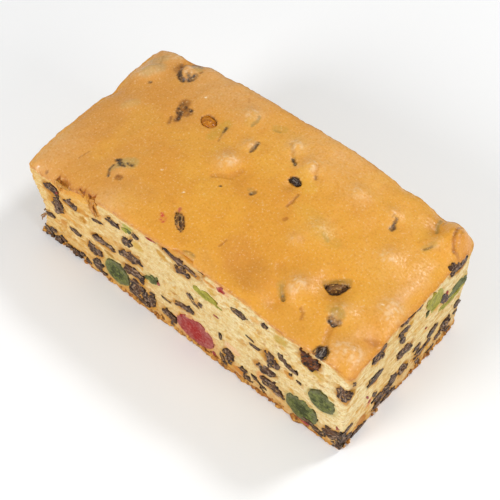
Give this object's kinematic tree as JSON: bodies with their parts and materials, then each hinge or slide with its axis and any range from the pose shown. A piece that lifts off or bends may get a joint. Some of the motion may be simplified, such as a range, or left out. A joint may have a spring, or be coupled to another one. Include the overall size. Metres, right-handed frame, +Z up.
{
  "type": "slice of fruit slab cake",
  "caption": "Oblong slice of baked fruit slab cake with a golden domed skin and pale cut sides set with glace cherries and raisins.",
  "frame": {"origin": "middle of the flat base, at the centre of the slice's outline", "axes": "+Z up, X along the slice's length with its taller end at +X, and the long cut side that the picture shows facing -Y"},
  "size_m": [0.172, 0.0838, 0.0656],
  "materials": {
    "cake": "soft baked crumb, with a smooth golden skin on top",
    "raisin": "wrinkled and moist, cut flush where it meets a side",
    "sultana": "amber and glossy",
    "red": "moist red glace cherry",
    "green": "moist green glace cherry",
    "lime": "pale green candied fruit"
  },
  "bodies": {
    "root": {"cake": "cake", "front_cherry_red": "red", "front_cherry_green_1": "green", "front_cherry_green_2": "green", "front_cherry_green_3": "green", "front_cherry_lime": "lime", "front_chip_green": "green", "front_chip_red": "red", "front_raisin_1": "raisin", "front_raisin_2": "raisin", "front_raisin_3": "raisin", "front_raisin_4": "raisin", "front_raisin_5": "raisin", "front_raisin_6": "raisin", "front_raisin_7": "raisin", "front_raisin_8": "raisin", "front_raisin_9": "raisin", "front_raisin_10": "raisin", "front_raisin_11": "raisin", "front_raisin_12": "raisin", "front_raisin_13": "raisin", "front_raisin_14": "raisin", "front_raisin_15": "raisin", "front_raisin_16": "raisin", "front_raisin_17": "raisin", "front_raisin_18": "raisin", "front_raisin_19": "raisin", "front_raisin_20": "raisin", "right_cherry_lime": "lime", "right_cherry_green": "green", "right_raisin_1": "raisin", "right_raisin_2": "raisin", "right_raisin_3": "raisin", "right_raisin_4": "raisin", "right_raisin_5": "raisin", "right_raisin_6": "raisin", "right_raisin_7": "raisin", "right_raisin_8": "raisin", "top_raisin_1": "raisin", "top_raisin_2": "raisin", "top_raisin_3": "raisin", "top_raisin_4": "sultana", "top_raisin_5": "raisin", "top_raisin_6": "raisin", "back_cherry_red": "red", "back_cherry_green": "green", "back_raisin_1": "raisin", "back_raisin_2": "raisin", "back_raisin_3": "raisin", "back_raisin_4": "raisin", "back_raisin_5": "raisin", "left_cherry_green": "green", "left_raisin_1": "raisin", "left_raisin_2": "raisin"}
  },
  "joints": []
}
